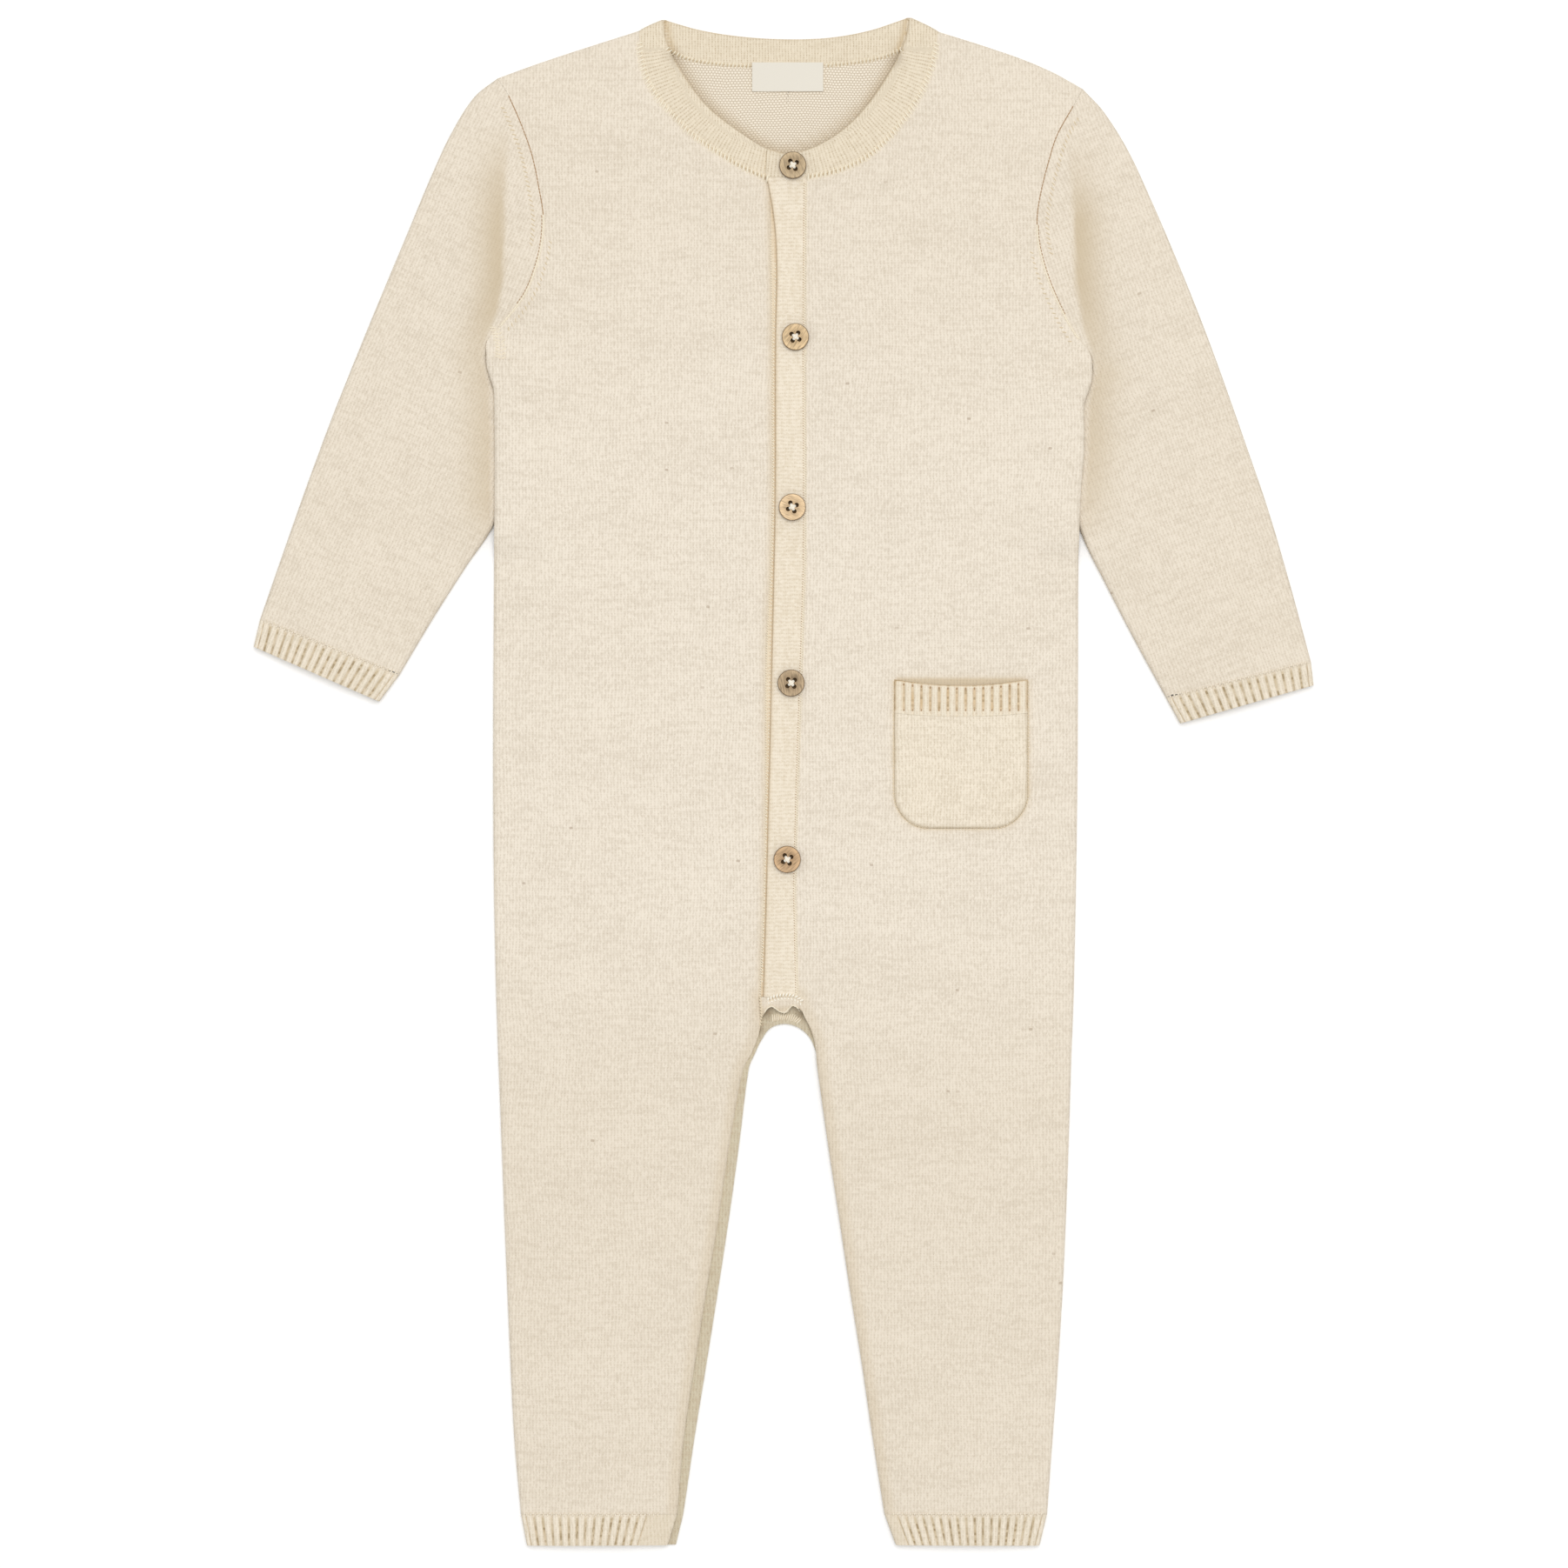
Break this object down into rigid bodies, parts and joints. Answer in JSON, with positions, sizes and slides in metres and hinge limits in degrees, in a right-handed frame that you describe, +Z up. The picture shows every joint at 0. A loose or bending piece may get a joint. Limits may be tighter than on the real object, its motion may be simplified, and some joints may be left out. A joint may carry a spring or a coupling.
{
  "type": "baby romper",
  "caption": "Long-sleeved knitted baby romper laid flat, with a round neckband, a buttoned front placket down to the crotch, ribbed cuffs and a patch pocket.",
  "frame": {"origin": "under the middle of the outline of the laid garment, on the surface that it lies on", "axes": "+Y from the hems towards the neck, +X to the wearer's left (the pocket's side), +Z up out of the buttoned front"},
  "size_m": [0.451, 0.65, 0.0092],
  "materials": {
    "jersey": "fine knitted cotton, oatmeal melange, matt",
    "rib": "ribbed knit, cream, matt",
    "label": "woven label, off-white, soft satin",
    "button": "turned light wood, satin"
  },
  "bodies": {
    "root": {"back": "jersey", "front_right": "jersey", "front_left": "jersey", "sleeve_right": "jersey", "sleeve_left": "jersey", "cuff_sleeve_right": "rib", "cuff_sleeve_left": "rib", "cuff_leg_right": "rib", "cuff_leg_left": "rib", "neckband": "rib", "placket_under": "rib", "placket_top": "rib", "crotch_tab": "jersey", "inseam_band": "rib", "pocket": "jersey", "pocket_rib": "rib", "label": "label", "button_1": "button", "button_2": "button", "button_3": "button", "button_4": "button", "button_5": "button"}
  },
  "joints": []
}
